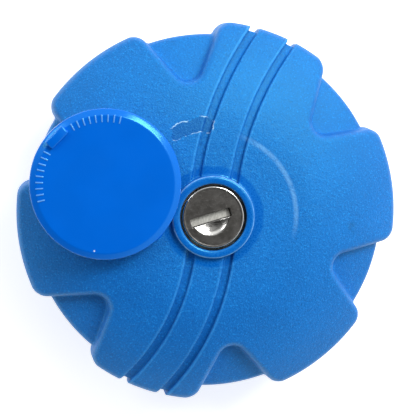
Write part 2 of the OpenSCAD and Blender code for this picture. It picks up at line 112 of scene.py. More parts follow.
# A flat cone up to the crease, then an arc out to the lobes' top edge: (radius, height)
CREASE = (19.6, 32.0)
CROWN_Z = 33.0
DOME_EDGE_Z = 22.0
DOME = circle_through(CREASE, (33.0, 28.5), (CAP_R, DOME_EDGE_Z))
FLANGE_R = 42.0
NOTCH = {"first": math.radians(39.0), "half": math.radians(34.5), "centre": 34.65, "r": 3.0,
         "depth": 3.8, "draft": 0.07}
LOBE_CORNER_R = 2.4
GRIP_Z = 15.0
SKIRT_R, SKIRT_IR = 41.2, 39.6
SKIRT_TOP = 18.0
GROOVE = {"centre": 64.6, "radii": (60.2, 69.0), "half": 1.0, "depth": 1.2}
COLLAR_R, COLLAR_HOLE_R = 9.5, 7.7
PAD = {"r": 2.9, "rise": 0.6, "hole": 2.05}
ROOT_Z = 28.0
# Rings under the roof: middle radius, half thickness, bottom, top
INNER_RINGS = ((36.2, 0.4, 16.95, 20.4), (32.15, 2.45, 20, 23.4), (9.4, 0.8, 17.5, 31))
# Underside of the roof: (radius, height)
ROOF = ((0, 30.2), (19.6, 29.2), (29.0, 26.9), (29.6, 22.9), (36.0, 20.2), (39.6, 18.3), (46, 15))


def dome(r, z):
    """Distance above the domed top."""
    arc = np.hypot(r - DOME[0], z - DOME[1]) - DOME[2]
    slope = (CROWN_Z - CREASE[1]) / CREASE[0]
    crown = (z - CROWN_Z + slope * r) / math.hypot(1, slope)
    return round_max(arc, crown, 0.6)


def notch_plan(r, theta, z):
    """Distance outside the V-shaped notches, seen from above, with a little draft."""
    pitch = math.pi / 3
    phi = np.mod(theta - NOTCH["first"] + pitch / 2, pitch) - pitch / 2
    x = r * np.cos(phi) - NOTCH["centre"]
    y = np.abs(r * np.sin(phi))
    c, s = math.cos(NOTCH["half"]), math.sin(NOTCH["half"])
    wall = y * c - x * s
    along = x * c + y * s
    d = np.where((wall > 0) & (along < 0), np.hypot(x, y), wall) - NOTCH["r"]
    return d - NOTCH["draft"] * (z - DOME_EDGE_Z)


def groove_plan(x, y):
    """Distance outside the two S-curved grooves, each made of two arcs that meet across the middle."""
    side = np.where(y > 0, GROOVE["centre"], -GROOVE["centre"])
    d = np.hypot(x - side, y)
    return np.minimum(*(np.abs(d - r) for r in GROOVE["radii"])) - GROOVE["half"]


def shell(x, y, z):
    """The grip shell: six lobes on a thinner core, grooves, collar, pad, skirt and hollow inside."""
    r = np.hypot(x, y)
    theta = np.arctan2(y, x)
    plan = round_max(r - CAP_R, -notch_plan(r, theta, z), LOBE_CORNER_R)
    lobes = round_max(round_max(plan, dome(r, z), 1.15), GRIP_Z - z, 1.4)
    core = round_max(round_max(r - FLANGE_R, dome(r, z + NOTCH["depth"]), 0.9), GRIP_Z - z, 0.9)
    d = round_min(lobes, core, 0.5)
    # Grooves follow the skin and stop at the collar
    cut = round_max(groove_plan(x, y), -d - GROOVE["depth"], 0.35)
    d = round_max(d, -cut, 0.22)
    collar = round_max(r - COLLAR_R, z - COLLAR_Z, 0.45)
    d = round_min(d, np.maximum(collar, ROOT_Z - z), 0.25)
    to_pivot = np.hypot(x - PIVOT[0], y - PIVOT[1])
    pad = round_max(to_pivot - PAD["r"], z - CROWN_Z - PAD["rise"], 0.3)
    d = round_min(d, np.maximum(pad, ROOT_Z - z), 0.3)
    d = round_min(d, np.maximum(r - SKIRT_R, z - SKIRT_TOP), 0.4)
    d = round_max(d, SKIRT_Z - z, 0.5)
    # Inside
    roof = np.interp(r, *zip(*ROOF)).astype(r.dtype)
    cavity = np.maximum(r - SKIRT_IR, (z - roof) * 0.94)
    d = round_max(d, -cavity, 0.4)
    for middle, half, low, high in INNER_RINGS:
        level = np.abs(z - (low + high) / 2) - (high - low) / 2
        d = np.minimum(d, np.maximum(np.abs(r - middle) - half, level))
    d = round_max(d, COLLAR_HOLE_R - r, 0.3)
    return np.maximum(d, PAD["hole"] - to_pivot)


def to_key(x, y):
    """Places along and across the key slot."""
    c, s = math.cos(KEY_A), math.sin(KEY_A)
    return x * c + y * s, y * c - x * s


def rounded_box(u, v, half, r):
    a, b = np.abs(u) - half[0] + r, np.abs(v) - half[1] + r
    return np.minimum(np.maximum(a, b), 0) + np.hypot(np.maximum(a, 0), np.maximum(b, 0)) - r


SCOOP = {"v": 0.4, "r": 4.5, "depth": 1.1}
RIM_W = 0.62
RIM_RISE = 0.07
LIP = {"r": 6.92, "thick": 1.4}


def lock_face(x, y, z):
    """Steel cap of the lock: a rolled edge, the key slot and the dished scoop beside it."""
    r = np.hypot(x, y)
    u, v = to_key(x, y)
    d = round_max(r - FACE_R, z - FACE_Z, 0.38)
    # A shallow turned step inside the rolled edge
    step = np.maximum(r - (FACE_R - RIM_W), FACE_Z - RIM_RISE - z)
    d = round_max(d, -step, 0.06)
    slot = rounded_box(u - KEY_OFF, v, KEY_HALF, 0.15)
    d = round_max(d, -slot, 0.09)
    ball = (SCOOP["r"] ** 2 + SCOOP["depth"] ** 2) / (2 * SCOOP["depth"])
    high = z - FACE_Z + SCOOP["depth"] - ball
    dish = np.sqrt((u - KEY_OFF) ** 2 + (v - SCOOP["v"]) ** 2 + high ** 2) - ball
    dish = np.maximum(dish, v + KEY_HALF[1] - 0.2)
    d = round_max(d, -dish, 0.12)
    under = np.maximum(r - LIP["r"], z - FACE_Z + LIP["thick"])
    d = np.maximum(d, -under)
    return np.maximum(d, FACE_LO[2] - z)


# ---------------------------------------------------------------- meshing

CORNERS = [(i, j, k) for i in (0, 1) for j in (0, 1) for k in (0, 1)]
EDGES = [(a, b) for a in range(8) for b in range(a + 1, 8)
         if sum(abs(p - q) for p, q in zip(CORNERS[a], CORNERS[b])) == 1]


def surface_net(field, axes):
    """Closed quad mesh of field's zero surface on a grid, with one vertex in each crossed cell."""
    gx, gy, gz = (np.asarray(a, np.float32) for a in axes)
    value = np.empty((len(gx), len(gy), len(gz)), np.float32)
    for start in range(0, len(gx), 32):
        part = slice(start, start + 32)
        value[part] = field(*np.meshgrid(gx[part], gy, gz, indexing="ij"))
    inside = value < 0
    shape = tuple(n - 1 for n in value.shape)
    count = np.zeros(shape, np.uint8)
    for i, j, k in CORNERS:
        count += inside[i:i + shape[0], j:j + shape[1], k:k + shape[2]]
    cells = np.argwhere((count > 0) & (count < 8))
    corner = np.stack([value[tuple((cells + c).T)] for c in CORNERS], 1)
    total = np.zeros((len(cells), 3), np.float64)
    hits = np.zeros(len(cells))
    for a, b in EDGES:
        fa, fb = corner[:, a], corner[:, b]
        cross = (fa < 0) != (fb < 0)
        t = np.where(cross, fa / np.where(cross, fa - fb, 1), 0)
        point = np.array(CORNERS[a]) + t[:, None] * (np.array(CORNERS[b]) - np.array(CORNERS[a]))
        total[cross] += point[cross]
        hits += cross
    local = total / hits[:, None]
    points = np.stack([g[cells[:, i]] + local[:, i] * (g[cells[:, i] + 1] - g[cells[:, i]])
                       for i, g in enumerate((gx, gy, gz))], 1)
    number = np.full(shape, -1, np.int32)
    number[tuple(cells.T)] = np.arange(len(cells))
    quads = []
    for axis in range(3):
        lo = [slice(None)] * 3
        hi = [slice(None)] * 3
        lo[axis], hi[axis] = slice(0, -1), slice(1, None)
        flip = inside[tuple(lo)] != inside[tuple(hi)]
        edge = np.argwhere(flip)
        one = np.eye(3, dtype=int)[(axis + 1) % 3]
        two = np.eye(3, dtype=int)[(axis + 2) % 3]
        ring = [number[tuple((edge - s).T)] for s in (one * 0, one, one + two, two)]
        ring = np.stack(ring, 1)
        outward = inside[tuple(edge.T)]
        ring[~outward] = ring[~outward][:, ::-1]
        quads.append(ring)
    return points, np.concatenate(quads)


def settle(field, points, reach):
    """Moves each point onto the surface along the field's slope."""
    for _ in range(3):
        x, y, z = points.T
        f = field(x, y, z)
        slope = slope_of(field, x, y, z)
        size = np.maximum((slope ** 2).sum(1), 0.25)
        move = -slope * (f / size)[:, None]
        length = np.linalg.norm(move, axis=1)
        move *= np.minimum(1, reach / np.maximum(length, 1e-9))[:, None]
        points = points + move
    return points


def mesh_object(name, points, faces):
    """Smooth-shaded object from places in millimetres and an array of equal-sized faces."""
    mesh = bpy.data.meshes.new(name)
    mesh.vertices.add(len(points))
    mesh.vertices.foreach_set("co", (np.asarray(points) * MM).astype(np.float32).ravel())
    mesh.loops.add(faces.size)
    mesh.loops.foreach_set("vertex_index", faces.astype(np.int32).ravel())
    mesh.polygons.add(len(faces))
    mesh.polygons.foreach_set("loop_start", np.arange(0, faces.size, faces.shape[1], dtype=np.int32))
    mesh.polygons.foreach_set("loop_total", np.full(len(faces), faces.shape[1], dtype=np.int32))
    mesh.update(calc_edges=True)
    mesh.validate()
    mesh.polygons.foreach_set("use_smooth", np.ones(len(mesh.polygons), bool))
    return link(bpy.data.objects.new(name, mesh))


def link(obj):
    bpy.context.scene.collection.objects.link(obj)
    return obj


def apply_modifiers(obj):
    depsgraph = bpy.context.evaluated_depsgraph_get()
    mesh = bpy.data.meshes.new_from_object(obj.evaluated_get(depsgraph))
    obj.modifiers.clear()
    obj.data = mesh
    return obj


def thin(obj, faces):
    """Collapses the mesh to about as many triangles as faces says, if it has more."""
    count = sum(len(p.vertices) - 2 for p in obj.data.polygons)
    if count > faces:
        mod = obj.modifiers.new("thin", "DECIMATE")
        mod.ratio = faces / count
        apply_modifiers(obj)
    obj.data.polygons.foreach_set("use_smooth", np.ones(len(obj.data.polygons), bool))
    return obj


def spaced(*runs):
    """Grid lines from (start, end, step) runs that follow on from each other."""
    lines = [np.arange(a, b - step * 0.4, step) for a, b, step in runs]
    return np.concatenate(lines + [[runs[-1][1]]])


def slope_of(field, x, y, z):
    h = 0.01
    return np.stack([
        field(x + h, y, z) - field(x - h, y, z),
        field(x, y + h, z) - field(x, y - h, z),
        field(x, y, z + h) - field(x, y, z - h)], 1) / (2 * h)


def mark_edges(obj, field, reach):
    """Gives every vertex two numbers: edge_highlight_mask is high on raised edges and corner_shade_mask in inner
    corners; the materials use them for painted highlights and painted shade.
    """
    flat = np.empty(3 * len(obj.data.vertices), np.float32)
    obj.data.vertices.foreach_get("co", flat)
    points = flat.reshape(-1, 3).astype(np.float64) / MM
    out = slope_of(field, *points.T)
    out /= np.maximum(np.linalg.norm(out, axis=1), 1e-6)[:, None]
    for name, side in (("edge_highlight_mask", -1), ("corner_shade_mask", 1)):
        mark = 1 - side * field(*(points + side * reach * out).T) / reach
        layer = obj.data.attributes.new(name, "FLOAT", "POINT")
        layer.data.foreach_set("value", mark.astype(np.float32))


def field_object(name, field, axes, reach, faces, edge_reach):
    """Object on field's zero surface: vertices move up to reach to settle on it."""
    points, quads = surface_net(field, axes)
    points = settle(field, points.astype(np.float64), reach)
    obj = thin(mesh_object(name, points, quads), faces)
    mark_edges(obj, field, edge_reach)
    return obj


# ---------------------------------------------------------------- material nodes

class Nodes:
    """Short names for building one material's nodes."""

    def __init__(self, name, **sockets):
        self.material = bpy.data.materials.new(name)
        self.material.use_nodes = True
        self.tree = self.material.node_tree
        self.shader = self.tree.nodes["Principled BSDF"]
        for key, value in sockets.items():
            self.shader.inputs[key.replace("_", " ")].default_value = value
        self.place = self.tree.nodes.new("ShaderNodeTexCoord").outputs["Object"]
        self.xyz = self.tree.nodes.new("ShaderNodeSeparateXYZ")
        self.tree.links.new(self.place, self.xyz.inputs[0])

    def put(self, value, socket):
        if isinstance(value, bpy.types.NodeSocket):
            self.tree.links.new(value, socket)
        else:
            socket.default_value = value

    def math(self, kind, a, b=0.0, c=0.0):
        node = self.tree.nodes.new("ShaderNodeMath")
        node.operation = kind
        for value, socket in zip((a, b, c), node.inputs):
            self.put(value, socket)
        return node.outputs[0]

    def noise(self, size_mm, detail=2.0, rough=0.5, place=None):
        node = self.tree.nodes.new("ShaderNodeTexNoise")
        node.inputs["Detail"].default_value = detail
        node.inputs["Roughness"].default_value = rough
        node.inputs["Scale"].default_value = 1 / (size_mm * MM)
        self.tree.links.new(place or self.place, node.inputs["Vector"])
        return node.outputs["Fac"]

    def band(self, value, lo, hi, to=(0.0, 1.0)):
        node = self.tree.nodes.new("ShaderNodeMapRange")
        node.interpolation_type = "SMOOTHSTEP"
        for key, number in zip(("From Min", "From Max", "To Min", "To Max"), (lo, hi, *to)):
            node.inputs[key].default_value = number
        self.put(value, node.inputs["Value"])
        return node.outputs[0]

    def mix(self, factor, a, b):
        node = self.tree.nodes.new("ShaderNodeMix")
        node.data_type = "RGBA"
        self.put(factor, node.inputs["Factor"])
        self.put(a if isinstance(a, bpy.types.NodeSocket) else (*a, 1), node.inputs[6])
        self.put(b if isinstance(b, bpy.types.NodeSocket) else (*b, 1), node.inputs[7])
        return node.outputs[2]

    def bump(self, height, depth_mm, strength=1.0, normal=None):
        node = self.tree.nodes.new("ShaderNodeBump")
        self.put(strength, node.inputs["Strength"])
        node.inputs["Distance"].default_value = depth_mm * MM
        self.tree.links.new(height, node.inputs["Height"])
        if normal:
            self.tree.links.new(normal, node.inputs["Normal"])
        return node.outputs[0]

    def times(self, first, *others):
        for other in others:
            first = self.math("MULTIPLY", first, other)
        return first

    def span(self, value, rise, fall):
        """Between two soft edges: up over the pair rise, down over the pair fall."""
        return self.times(self.band(value, *rise), self.band(value, fall[1], fall[0]))

    def stretched(self, scale):
        node = self.tree.nodes.new("ShaderNodeMapping")
        node.inputs["Scale"].default_value = scale
        self.tree.links.new(self.place, node.inputs["Vector"])
        return node.outputs[0]

    def distance(self, x, y, x0, y0):
        dx = self.math("SUBTRACT", x, x0 * MM)
        dy = self.math("SUBTRACT", y, y0 * MM)
        return self.math("SQRT", self.math("ADD", self.times(dx, dx), self.times(dy, dy)))

    def radius(self, x0=0.0, y0=0.0):
        """Distance from a vertical axis, in metres."""
        return self.distance(*self.xyz.outputs[:2], x0, y0)

    def along_key(self):
        """Places along and across the key slot, in metres."""
        x, y = self.xyz.outputs[:2]
        c, s = math.cos(KEY_A), math.sin(KEY_A)
        return (self.math("ADD", self.times(x, c), self.times(y, s)),
                self.math("SUBTRACT", self.times(y, c), self.times(x, s)))

    def mark(self, name):
        """One of the numbers that mark_edges gives every vertex."""
        node = self.tree.nodes.new("ShaderNodeAttribute")
        node.attribute_name = name
        return node.outputs["Fac"]

    def angle(self):
        return self.math("ARCTAN2", self.xyz.outputs[1], self.xyz.outputs[0])

    def set(self, key, value):
        self.put(value, self.shader.inputs[key])
        return self


def shell_material():
    """Satin blue with moulded grain, painted highlights on raised edges, the crease and the collar's edge, painted
    shade in inner corners and the gap round the lock, a gouge and a smoother ring round the lock.
    """
    m = Nodes("shell_blue", Specular_IOR_Level=0.9, Specular_Tint=(0.24, 0.95, 0.85, 1),
              Sheen_Weight=0.06, Sheen_Roughness=0.35, Sheen_Tint=(0.4, 0.75, 1, 1))
    r = m.radius()
    angle = m.angle()
    height = m.xyz.outputs[2]
    grain = m.noise(0.42, 3, 0.7)
    coarse = m.noise(1.5, 3, 0.55)
    cloud = m.noise(14, 2, 0.5)
    tone = m.mix(m.band(cloud, 0.3, 0.7), (0.0, 0.118, 0.50), (0.0, 0.134, 0.55))
    tone = m.mix(m.band(grain, 0.54, 0.70, (0, 0.8)), tone, (0.01, 0.27, 0.78))
    tone = m.mix(m.band(grain, 0.47, 0.3), tone, (0.0, 0.078, 0.38))
    # Painted highlight along raised edges, broken up by coarse noise, and painted shade in inner corners
    edge_highlight = m.times(m.band(m.mark("edge_highlight_mask"), 0.10, 0.55), m.band(coarse, 0.25, 0.65, (0.35, 0.75)))
    tone = m.mix(edge_highlight, tone, (0.03, 0.26, 0.74))
    tone = m.mix(m.band(m.mark("corner_shade_mask"), 0.15, 0.75, (0, 0.6)), tone, (0.0, 0.058, 0.30))
    # Smoother, deeper blue round the collar and on it
    edge = m.math("ADD", r, m.times(m.math("SUBTRACT", coarse, 0.5), 1.4 * MM))
    polished = m.band(edge, 12.0 * MM, 11.4 * MM)
    tone = m.mix(m.times(polished, 0.85), tone, (0.0, 0.115, 0.50))
    # A gouged patch beside the grooves: darker inside, whitish in places along its ragged border
    ragged = m.noise(3.4, 5, 0.62)
    place = m.times(m.span(r, (17.8 * MM, 20.5 * MM), (21.5 * MM, 25.2 * MM)),
                    m.span(angle, (1.44, 1.62), (1.95, 2.22)))
    field = m.math("ADD", place, m.math("SUBTRACT", ragged, 0.5))
    field = m.times(field, m.band(place, 0.02, 0.2))
    tone = m.mix(m.band(field, 0.66, 0.74, (0, 0.75)), tone, (0.0, 0.065, 0.36))
    broken = m.band(m.noise(2.2, 3, 0.7), 0.47, 0.58)
    border = m.times(m.span(field, (0.60, 0.66), (0.68, 0.74)), broken)
    tone = m.mix(border, tone, (0.42, 0.64, 0.90))
    # Painted highlight along the crease where the crown meets the dome, on the right and upper right of the
    # circle, broken up by coarse noise
    ring = m.times(m.span(r, (18.6 * MM, 19.4 * MM), (19.6 * MM, 20.3 * MM)),
                   m.span(angle, (-0.35, 0.1), (0.95, 1.35)), m.band(coarse, 0.3, 0.5, (0.45, 1)))
    tone = m.mix(m.times(ring, 0.42), tone, (0.20, 0.44, 0.82))
    # A thin painted highlight on the collar's outer edge, and near-black painted shade in the gap round the lock
    lip = m.times(m.span(r, (9.22 * MM, 9.38 * MM), (9.50 * MM, 9.62 * MM)),
                  m.band(height, 33.1 * MM, 33.5 * MM), m.band(coarse, 0.3, 0.6, (0.25, 0.8)))
    tone = m.mix(lip, tone, (0.24, 0.52, 0.92))
    gap_shade = m.times(m.band(r, 8.00 * MM, 7.78 * MM), m.band(height, 33.8 * MM, 33.4 * MM))
    tone = m.mix(gap_shade, tone, (0.002, 0.004, 0.010))
    # A faint smudge near the rim
    smudge = m.times(m.band(m.radius(33.5, -3.2), 2.2 * MM, 0.6 * MM), m.band(ragged, 0.45, 0.6), 0.45)
    m.set("Base Color", m.mix(smudge, tone, (0.0, 0.05, 0.24)))
    rough = m.band(grain, 0.3, 0.7, (0.42, 0.56))
    m.set("Roughness", m.math("SUBTRACT", rough, m.times(polished, 0.2)))
    grained = m.math("SUBTRACT", 1.0, m.times(polished, 0.85))
    fine = m.bump(grain, 0.14, grained)
    m.set("Normal", m.bump(coarse, 0.2, m.times(grained, 0.5), fine))
    return m.material


def cover_material():
    """Smooth glossy blue."""
    m = Nodes("cover_blue", Specular_IOR_Level=0.9, Specular_Tint=(0.2, 0.85, 1, 1))
    cloud = m.noise(9, 2, 0.5)
    tone = m.mix(m.band(cloud, 0.3, 0.7), (0.0, 0.121, 0.63), (0.0, 0.127, 0.66))
    # Painted highlight on what stands just above the disc: the tops of the fine ribs and the foot of the tab. The
    # gate mark is pale
    height = m.xyz.outputs[2]
    rib_top_highlight = m.span(height, ((COVER_Z + 0.03) * MM, (COVER_Z + 0.07) * MM),
                  ((COVER_Z + 0.3) * MM, (COVER_Z + 0.5) * MM))
    tone = m.mix(m.times(rib_top_highlight, 0.5), tone, (0.20, 0.52, 0.95))
    spot = m.band(m.radius(*GATE_AT), 0.00026, 0.00012, (0, 0.8))
    tone = m.mix(spot, tone, (0.75, 0.85, 0.95))
    m.set("Base Color", tone)
    m.set("Roughness", m.band(m.noise(4, 3, 0.6), 0.3, 0.7, (0.15, 0.21)))
    m.set("Normal", m.bump(m.noise(6, 2, 0.5), 0.02, 0.3))
    return m.material


def steel_material(name, base, dark, rough):
    """Metal with cloudy tone and fine crossed scratches."""
    m = Nodes(name, Metallic=1.0)
    lines = m.noise(1.2, 4, 0.7, place=m.stretched((0.25, 3.0, 1.0)))
    cross = m.noise(1.5, 3, 0.7, place=m.stretched((2.6, 0.3, 1.0)))
    cloud = m.noise(3.0, 3, 0.6)
    tone = m.mix(m.band(cloud, 0.3, 0.7), dark, base)
    tone = m.mix(m.band(lines, 0.55, 0.75, (0, 0.35)), tone, tuple(min(1, 1.5 * c) for c in base))
    m.set("Base Color", tone)
    m.set("Roughness", m.band(cross, 0.3, 0.7, (rough - 0.06, rough + 0.08)))
    fine = m.bump(lines, 0.01, 0.5)
    m.set("Normal", m.bump(cross, 0.008, 0.4, fine))
    return m.material


def face_material():
    """Dark satin steel, bright where it is rolled or dished, with a painted reflection in the dish and painted
    shade in inner corners.
    """
    m = Nodes("face_steel", Metallic=1.0)
    cloud = m.noise(2.2, 4, 0.65)
    grain = m.noise(0.28, 3, 0.7)
    swirl = m.noise(0.9, 4, 0.75, place=m.stretched((0.5, 2.2, 1.0)))
    tone = m.mix(m.band(cloud, 0.3, 0.7), (0.115, 0.110, 0.102), (0.185, 0.178, 0.168))
    tone = m.mix(m.band(swirl, 0.56, 0.76, (0, 0.4)), tone, (0.42, 0.41, 0.39))
    tone = m.mix(m.band(grain, 0.62, 0.72, (0, 0.5)), tone, (0.5, 0.49, 0.47))
    # The dish beside the key slot is bright, and so is the rolled edge
    u, v = m.along_key()
    away = m.distance(u, v, KEY_OFF, SCOOP["v"])
    dish = m.times(m.band(away, (SCOOP["r"] + 0.05) * MM, (SCOOP["r"] - 0.1) * MM),
                   m.band(v, -0.75 * MM, -0.95 * MM))
    rim = m.band(m.radius(), (FACE_R - 0.52) * MM, (FACE_R - 0.36) * MM)
    bright = m.math("MAXIMUM", dish, rim)
    tone = m.mix(bright, tone, (0.80, 0.79, 0.76))
    # Painted reflection: the dish's centre is darkened, leaving a bright crescent round its border and a bright
    # corner at its far end
    dish_reflection_mask = m.times(dish, m.band(away, (SCOOP["r"] - 0.6) * MM, (SCOOP["r"] - 1.15) * MM),
                      m.band(u, 2.0 * MM, 1.2 * MM), m.band(swirl, 0.3, 0.6, (0.95, 0.6)))
    tone = m.mix(dish_reflection_mask, tone, (0.06, 0.058, 0.054))
    # Painted shade in inner corners
    tone = m.mix(m.band(m.mark("corner_shade_mask"), 0.15, 0.6, (0, 0.9)), tone, (0.02, 0.02, 0.02))
    m.set("Base Color", tone)
    dull = m.band(grain, 0.3, 0.7, (0.34, 0.46))
    m.set("Roughness", m.math("SUBTRACT", dull, m.times(bright, 0.24)))
    fine = m.bump(grain, 0.012, 0.6)
    m.set("Normal", m.bump(swirl, 0.01, 0.5, fine))
    return m.material


def shutter_material():
    """Brushed plate seen through the key slot, in shade along the slot's sides and far end."""
    m = Nodes("shutter_steel", Metallic=0.35)
    u, v = m.along_key()
    lines = m.noise(0.5, 4, 0.7, place=m.stretched((1.6, 0.4, 1.0)))
    tone = m.mix(m.band(lines, 0.35, 0.7), (0.50, 0.495, 0.455), (0.70, 0.695, 0.645))
    side = m.band(m.math("ABSOLUTE", v), 0.80 * MM, 0.98 * MM)
    near_u, far_u = KEY_OFF - KEY_HALF[0], KEY_OFF + KEY_HALF[0]
    end = m.band(u, (far_u - 0.30) * MM, (far_u - 0.12) * MM)
    # Painted highlight at the slot's near end, then painted shade along its sides and far end
    near_end_highlight = m.band(u, (near_u + 0.24) * MM, (near_u + 0.14) * MM)
    tone = m.mix(near_end_highlight, tone, (0.95, 0.95, 0.93))
    tone = m.mix(m.math("MAXIMUM", side, end), tone, (0.04, 0.04, 0.04))
    m.set("Base Color", tone)
    m.set("Roughness", m.band(lines, 0.3, 0.7, (0.38, 0.5)))
    m.set("Normal", m.bump(lines, 0.012, 0.5))
    return m.material


def plastic_material(name, base, rough):
    m = Nodes(name)
    grain = m.noise(0.5, 3, 0.6)
    cloud = m.noise(10, 2, 0.5)
    darker = tuple(c * 0.75 for c in base)
    m.set("Base Color", m.mix(m.band(cloud, 0.3, 0.7), darker, base))
    m.set("Roughness", m.band(grain, 0.3, 0.7, (rough - 0.06, rough + 0.06)))
    m.set("Normal", m.bump(grain, 0.03, 0.5))
    return m.material


def rubber_material():
    m = Nodes("seal_rubber")
    bloom = m.noise(4, 4, 0.65)
    m.set("Base Color", m.mix(m.band(bloom, 0.35, 0.75), (0.014, 0.014, 0.015), (0.035, 0.035, 0.036)))
    m.set("Roughness", m.band(bloom, 0.3, 0.7, (0.62, 0.8)))
    m.set("Normal", m.bump(m.noise(0.3, 2, 0.5), 0.015, 0.5))
    return m.material


MATERIALS = {
    "shell_blue": shell_material(),
    "cover_blue": cover_material(),
    "face_steel": face_material(),
    "shutter_steel": shutter_material(),
    "zinc": steel_material("zinc", (0.52, 0.52, 0.53), (0.40, 0.40, 0.41), 0.5),
    "brass": steel_material("brass", (0.72, 0.53, 0.24), (0.60, 0.42, 0.17), 0.3),
    "spring_steel": steel_material("spring_steel", (0.56, 0.56, 0.57), (0.42, 0.42, 0.44), 0.25),
    "plated_steel": steel_material("plated_steel", (0.62, 0.62, 0.60), (0.50, 0.50, 0.47), 0.32),
    "black_nylon": plastic_material("black_nylon", (0.035, 0.035, 0.038), 0.48),
    "white_acetal": plastic_material("white_acetal", (0.78, 0.78, 0.75), 0.35),
    "seal_rubber": rubber_material(),
}


# ---------------------------------------------------------------- pieces

def finish_piece(obj, node, body, slot):
    obj.data.materials.clear()
    obj.data.materials.append(MATERIALS[slot])
    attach(obj, body)
    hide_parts(node)
    return obj


def make_shell():
    """Fine grid steps across the grooves and up the lobes, coarse ones down the plain skirt."""
    step = 0.33
    tall = 0.4
    reach = CAP_R + 1.2
    low, lobes = SKIRT_Z + 1.2, GRIP_Z + 0.2
    across = spaced((-reach, reach, step))
    up = spaced((SKIRT_Z - 0.8, low, 0.3), (low, lobes, 1.1), (lobes, COLLAR_Z + 0.8, tall))
    obj = field_object("shell_moulding", shell, (across, across, up), 0.3, 190000, 0.7)
    return finish_piece(obj, "grip_shell", "grip", "shell_blue")


def make_lock_face():
    step = 0.08
    across = spaced((-FACE_R - 0.3, FACE_R + 0.3, step))
    low = FACE_Z - 1.6
    up = spaced((FACE_LO[2] - 0.2, low, step), (low, FACE_Z + 0.2, step * 0.75))
    obj = field_object("lock_front", lock_face, (across, across, up), 0.06, 90000, 0.22)
    return finish_piece(obj, "plug_face", "plug", "face_steel")


def arc_points(centre, r, a0, a1, n):
    """Points along an arc between two angles in degrees."""
    return [(centre[0] + r * math.cos(a), centre[1] + r * math.sin(a))
            for a in np.linspace(math.radians(a0), math.radians(a1), n)]


def lathe(name, profile, segments, centre=(0, 0)):
    """Closed solid of revolution from an (r, z) outline that starts and ends on the axis."""
    outline = [profile[0]]
    for point in profile[1:]:
        if math.dist(point, outline[-1]) > 0.01:
            outline.append(point)
    body = outline[1:-1]
    n = len(body)
    points = []
    for i in range(segments):
        a = 2 * math.pi * i / segments
        points += [(centre[0] + r * math.cos(a), centre[1] + r * math.sin(a), z) for r, z in body]
    first, last = len(points), len(points) + 1
    points += [(*centre, profile[0][1]), (*centre, profile[-1][1])]
    faces = []
    for i in range(segments):
        k = (i + 1) % segments
        for j in range(n - 1):
            faces.append((i * n + j, k * n + j, k * n + j + 1, i * n + j + 1))
        faces.append((first, k * n, i * n))
        faces.append((last, i * n + n - 1, k * n + n - 1))
    mesh = bpy.data.meshes.new(name)
    mesh.from_pydata([tuple(c * MM for c in p) for p in points], [], faces)
    for polygon in mesh.polygons:
        polygon.use_smooth = True
    return link(bpy.data.objects.new(name, mesh))


def soft_box(bm, size, place, turn, bevel, segments=3):
    """Adds a box with rounded edges to bm, moved to place and then turned about the Z axis."""
    made = bmesh.ops.create_cube(bm, size=1.0)["verts"]
    sized = Matrix.Translation(Vector(place)) @ Matrix.Diagonal((*size, 1))
    bmesh.ops.transform(bm, matrix=Matrix.Rotation(turn, 4, "Z") @ sized, verts=made)
    edges = list({e for v in made for e in v.link_edges})
    bmesh.ops.bevel(bm, geom=edges, offset=bevel, segments=segments, profile=0.5, affect="EDGES")


COVER_T = 1.6
COVER_DEEP = 2.4
RIBS = {"count": 9, "first": 15.85, "pitch": 5.3}


def make_cover():
    """A lathed disc with a rolled border, a thumb tab, two runs of ribs and the hub it turns on."""
    top = COVER_Z
    low = top - COVER_DEEP
    r = COVER_R
    profile = [(0, top - COVER_T), (r - 1.5, top - COVER_T)]
    profile += arc_points((r - 1.5, top - 1.9), 0.3, 90, 0, 5)
    profile += arc_points((r - 0.98, low + 0.22), 0.22, 180, 270, 5)
    profile += arc_points((r - 0.22, low + 0.22), 0.22, 270, 360, 5)
    profile += arc_points((r - 0.4, top - 0.97), 0.4, 0, 64, 7)
    profile += [(r - 0.6, top - 0.42), (r - 1.0, top - 0.235)]
    profile += arc_points((r - 1.75, top - 1.2), 1.2, 65, 90, 7)
    profile += [(r - 2.6, top), (0, top)]
    cover = lathe("cover_disc", profile, 256)
    bm = bmesh.new()
    soft_box(bm, (2.2, 5.3, 2.2), (15.3, 0, top + 0.1), 0, 0.35)
    for side in (-1, 1):
        for i in range(RIBS["count"]):
            turn = math.radians(side * (RIBS["first"] + RIBS["pitch"] * i))
            soft_box(bm, (1.75, 0.34, 1.1), (14.95, 0, top - 0.42), turn, 0.1, 2)
    details = bpy.data.meshes.new("cover_details")
    bm.to_mesh(details)
    bm.free()
    details.transform(Matrix.Scale(MM, 4))
    tool = link(bpy.data.objects.new("cover_details", details))
    union(cover, tool)
    turn = Matrix.Translation(Vector((COVER_AT[0], COVER_AT[1], 0)) * MM)
    cover.data.transform(turn @ Matrix.Rotation(OPEN_A, 4, "Z"))
    root, inside = CROWN_Z + 0.7, top - 1.3
    hub = [(0, 26.6), (1.8, 26.6), (2.0, 26.8), (2.0, root),
           (2.7, root), (2.9, root + 0.2), (2.9, inside), (0, inside)]
    stub = lathe("cover_hub", hub, 48, (PIVOT[0], PIVOT[1]))
    union(cover, stub)
    for polygon in cover.data.polygons:
        polygon.use_smooth = True
    cover.data.set_sharp_from_angle(angle=math.radians(40))
    return finish_piece(cover, "dust_cover", "cover", "cover_blue")


def union(obj, tool):
    """Joins the closed object tool to obj, and removes tool."""
    mod = obj.modifiers.new("join", "BOOLEAN")
    mod.operation = "UNION"
    mod.solver = "EXACT"
    mod.object = tool
    apply_modifiers(obj)
    bpy.data.objects.remove(tool)


